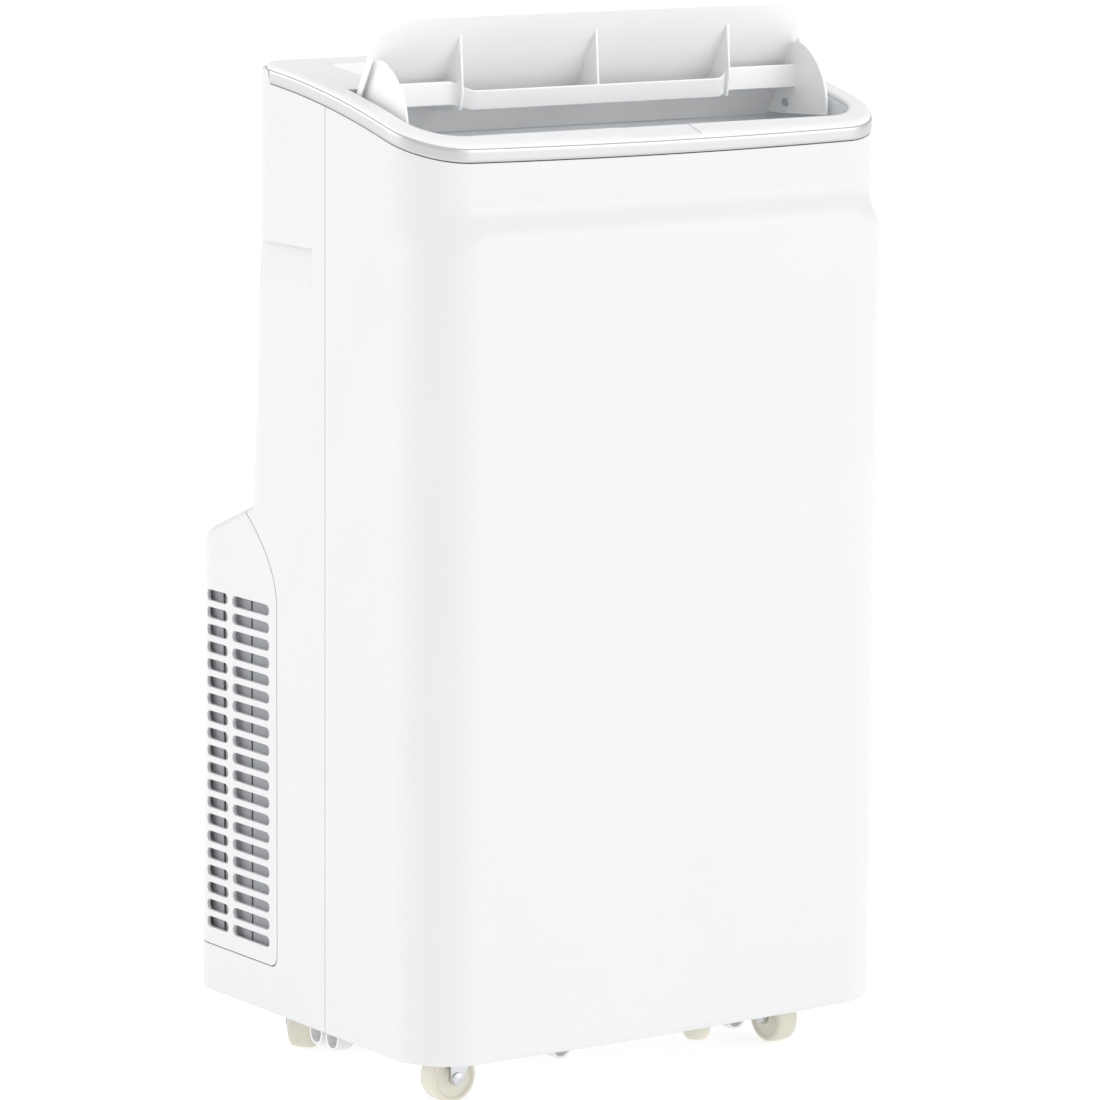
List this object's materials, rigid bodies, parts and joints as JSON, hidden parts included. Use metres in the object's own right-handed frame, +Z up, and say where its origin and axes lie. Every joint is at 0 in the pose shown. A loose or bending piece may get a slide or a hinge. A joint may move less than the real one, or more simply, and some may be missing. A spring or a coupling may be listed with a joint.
{
  "type": "portable air conditioner",
  "caption": "Tall white portable air conditioner with an open top outlet flap, silver band, slotted rear panel and swivelling casters.",
  "frame": {"origin": "on the floor below the middle of the object", "axes": "+Z up, the front faces -Y, +X is the right side seen from the front"},
  "size_m": [0.441, 0.3469, 0.8231],
  "materials": {
    "cabinet_plastic": "satin white, finely grained",
    "grille_plastic": "satin white",
    "flap_plastic": "satin white",
    "button_plastic": "satin",
    "silver_band": "bright satin silver",
    "duct_plastic": "matt grey",
    "inner_plastic": "matt",
    "dark_plastic": "gloss",
    "display_glass": "gloss",
    "cream_nylon": "translucent cream",
    "fan_plastic": "matt",
    "zinc_steel": "zinc plated",
    "aluminium_fins": "plain fin stock",
    "copper_pipe": "bare copper",
    "black_paint": "satin",
    "foot_rubber": "matt",
    "filter_mesh": "fine mesh"
  },
  "bodies": {
    "cabinet": {"base_tray": "inner_plastic", "compressor": "black_paint", "compressor_foot_1": "foot_rubber", "compressor_foot_2": "foot_rubber", "compressor_foot_3": "foot_rubber", "condenser_coil": "aluminium_fins", "control_board": "inner_plastic", "control_fascia": "flap_plastic", "cord_gland": "dark_plastic", "discharge_pipe": "copper_pipe", "display_window": "display_glass", "divider_pan": "inner_plastic", "drain_plug": "cream_nylon", "evaporator_coil": "aluminium_fins", "exhaust_collar": "inner_plastic", "flap_pin_left": "zinc_steel", "flap_pin_right": "zinc_steel", "front_shell": "cabinet_plastic", "lower_blower_housing": "inner_plastic", "lower_blower_motor": "black_paint", "lower_filter": "filter_mesh", "outlet_duct": "duct_plastic", "rear_drain_cap": "cream_nylon", "rear_grille": "grille_plastic", "rear_shell": "cabinet_plastic", "top_panel": "cabinet_plastic", "trim_band": "silver_band", "upper_blower_housing": "inner_plastic", "upper_blower_motor": "black_paint", "upper_filter": "filter_mesh"},
    "flap": {"outlet_flap": "flap_plastic"},
    "louver_1": {"louver_1": "duct_plastic"},
    "louver_2": {"louver_2": "duct_plastic"},
    "louver_3": {"louver_3": "duct_plastic"},
    "louver_4": {"louver_4": "duct_plastic"},
    "louver_5": {"louver_5": "duct_plastic"},
    "louver_link": {"louver_link": "duct_plastic"},
    "upper_blower_wheel": {"upper_blower_wheel": "fan_plastic"},
    "lower_blower_wheel": {"lower_blower_wheel": "fan_plastic"},
    "power_button": {"power_button": "button_plastic"},
    "mode_button": {"mode_button": "button_plastic"},
    "fan_button": {"fan_button": "button_plastic"},
    "temp_down_button": {"temp_down_button": "button_plastic"},
    "temp_up_button": {"temp_up_button": "button_plastic"},
    "timer_button": {"timer_button": "button_plastic"},
    "front_left_caster": {"front_left_fork": "zinc_steel", "front_left_axle": "zinc_steel"},
    "front_left_wheel": {"front_left_wheel": "cream_nylon"},
    "front_right_caster": {"front_right_fork": "zinc_steel", "front_right_axle": "zinc_steel"},
    "front_right_wheel": {"front_right_wheel": "cream_nylon"},
    "rear_left_caster": {"rear_left_fork": "zinc_steel", "rear_left_axle": "zinc_steel"},
    "rear_left_wheel": {"rear_left_wheel": "cream_nylon"},
    "rear_right_caster": {"rear_right_fork": "zinc_steel", "rear_right_axle": "zinc_steel"},
    "rear_right_wheel": {"rear_right_wheel": "cream_nylon"}
  },
  "joints": [
    {"name": "flap_hinge", "type": "hinge", "parent": "cabinet", "child": "flap", "pos_m": [0, -0.0504, 0.7416], "axis": [1, 0, 0], "range_deg": [0, 75.4]},
    {"name": "louver_1_swing", "type": "hinge", "parent": "cabinet", "child": "louver_1", "pos_m": [-0.15, -0.0794, 0.669], "axis": [0, 0, 1], "range_deg": [-25, 25]},
    {"name": "louver_2_swing", "type": "hinge", "parent": "cabinet", "child": "louver_2", "pos_m": [-0.075, -0.0794, 0.669], "axis": [0, 0, 1], "range_deg": [-25, 25]},
    {"name": "louver_3_swing", "type": "hinge", "parent": "cabinet", "child": "louver_3", "pos_m": [0, -0.0794, 0.669], "axis": [0, 0, 1], "range_deg": [-25, 25]},
    {"name": "louver_4_swing", "type": "hinge", "parent": "cabinet", "child": "louver_4", "pos_m": [0.075, -0.0794, 0.669], "axis": [0, 0, 1], "range_deg": [-25, 25]},
    {"name": "louver_5_swing", "type": "hinge", "parent": "cabinet", "child": "louver_5", "pos_m": [0.15, -0.0794, 0.669], "axis": [0, 0, 1], "range_deg": [-25, 25]},
    {"name": "louver_link_slide", "type": "slide", "parent": "cabinet", "child": "louver_link", "axis": [1, 0, 0], "range_m": [-0.0132, 0.0132]},
    {"name": "upper_blower_spin", "type": "hinge", "parent": "cabinet", "child": "upper_blower_wheel", "pos_m": [-0.06, -0.0544, 0.545], "axis": [0, 1, 0], "continuous": true},
    {"name": "lower_blower_spin", "type": "hinge", "parent": "cabinet", "child": "lower_blower_wheel", "pos_m": [0.095, 0.0206, 0.2], "axis": [0, 1, 0], "continuous": true},
    {"name": "power_press", "type": "slide", "parent": "cabinet", "child": "power_button", "axis": [0, 0.118, -0.993], "range_m": [0, 0.0008], "stiffness_N_per_m": 600},
    {"name": "mode_press", "type": "slide", "parent": "cabinet", "child": "mode_button", "axis": [0, 0.118, -0.993], "range_m": [0, 0.0008], "stiffness_N_per_m": 600},
    {"name": "fan_press", "type": "slide", "parent": "cabinet", "child": "fan_button", "axis": [0, 0.118, -0.993], "range_m": [0, 0.0008], "stiffness_N_per_m": 600},
    {"name": "temp_down_press", "type": "slide", "parent": "cabinet", "child": "temp_down_button", "axis": [0, 0.118, -0.993], "range_m": [0, 0.0008], "stiffness_N_per_m": 600},
    {"name": "temp_up_press", "type": "slide", "parent": "cabinet", "child": "temp_up_button", "axis": [0, 0.118, -0.993], "range_m": [0, 0.0008], "stiffness_N_per_m": 600},
    {"name": "timer_press", "type": "slide", "parent": "cabinet", "child": "timer_button", "axis": [0, 0.118, -0.993], "range_m": [0, 0.0008], "stiffness_N_per_m": 600},
    {"name": "front_left_swivel", "type": "hinge", "parent": "cabinet", "child": "front_left_caster", "pos_m": [-0.15, -0.1094, 0.044], "axis": [0, 0, 1], "continuous": true},
    {"name": "front_left_roll", "type": "hinge", "parent": "front_left_caster", "child": "front_left_wheel", "pos_m": [-0.162, -0.1094, 0.02], "axis": [0, -1, 0], "continuous": true},
    {"name": "front_right_swivel", "type": "hinge", "parent": "cabinet", "child": "front_right_caster", "pos_m": [0.158, -0.1094, 0.044], "axis": [0, 0, 1], "continuous": true},
    {"name": "front_right_roll", "type": "hinge", "parent": "front_right_caster", "child": "front_right_wheel", "pos_m": [0.158, -0.0974, 0.02], "axis": [-1, 0, 0], "continuous": true},
    {"name": "rear_left_swivel", "type": "hinge", "parent": "cabinet", "child": "rear_left_caster", "pos_m": [-0.154, 0.0986, 0.044], "axis": [0, 0, 1], "continuous": true},
    {"name": "rear_left_roll", "type": "hinge", "parent": "rear_left_caster", "child": "rear_left_wheel", "pos_m": [-0.16319, 0.09089, 0.02], "axis": [0.6428, -0.766, 0], "continuous": true},
    {"name": "rear_right_swivel", "type": "hinge", "parent": "cabinet", "child": "rear_right_caster", "pos_m": [0.154, 0.0986, 0.044], "axis": [0, 0, 1], "continuous": true},
    {"name": "rear_right_roll", "type": "hinge", "parent": "rear_right_caster", "child": "rear_right_wheel", "pos_m": [0.16, 0.10899, 0.02], "axis": [-0.866, 0.5, 0], "continuous": true}
  ],
  "couplings": [
    {"joint": "louver_2_swing", "follows": "louver_1_swing", "ratio": 1},
    {"joint": "louver_3_swing", "follows": "louver_1_swing", "ratio": 1},
    {"joint": "louver_4_swing", "follows": "louver_1_swing", "ratio": 1},
    {"joint": "louver_5_swing", "follows": "louver_1_swing", "ratio": 1},
    {"joint": "louver_link_slide", "follows": "louver_1_swing", "m_per_rad": 0.03}
  ]
}
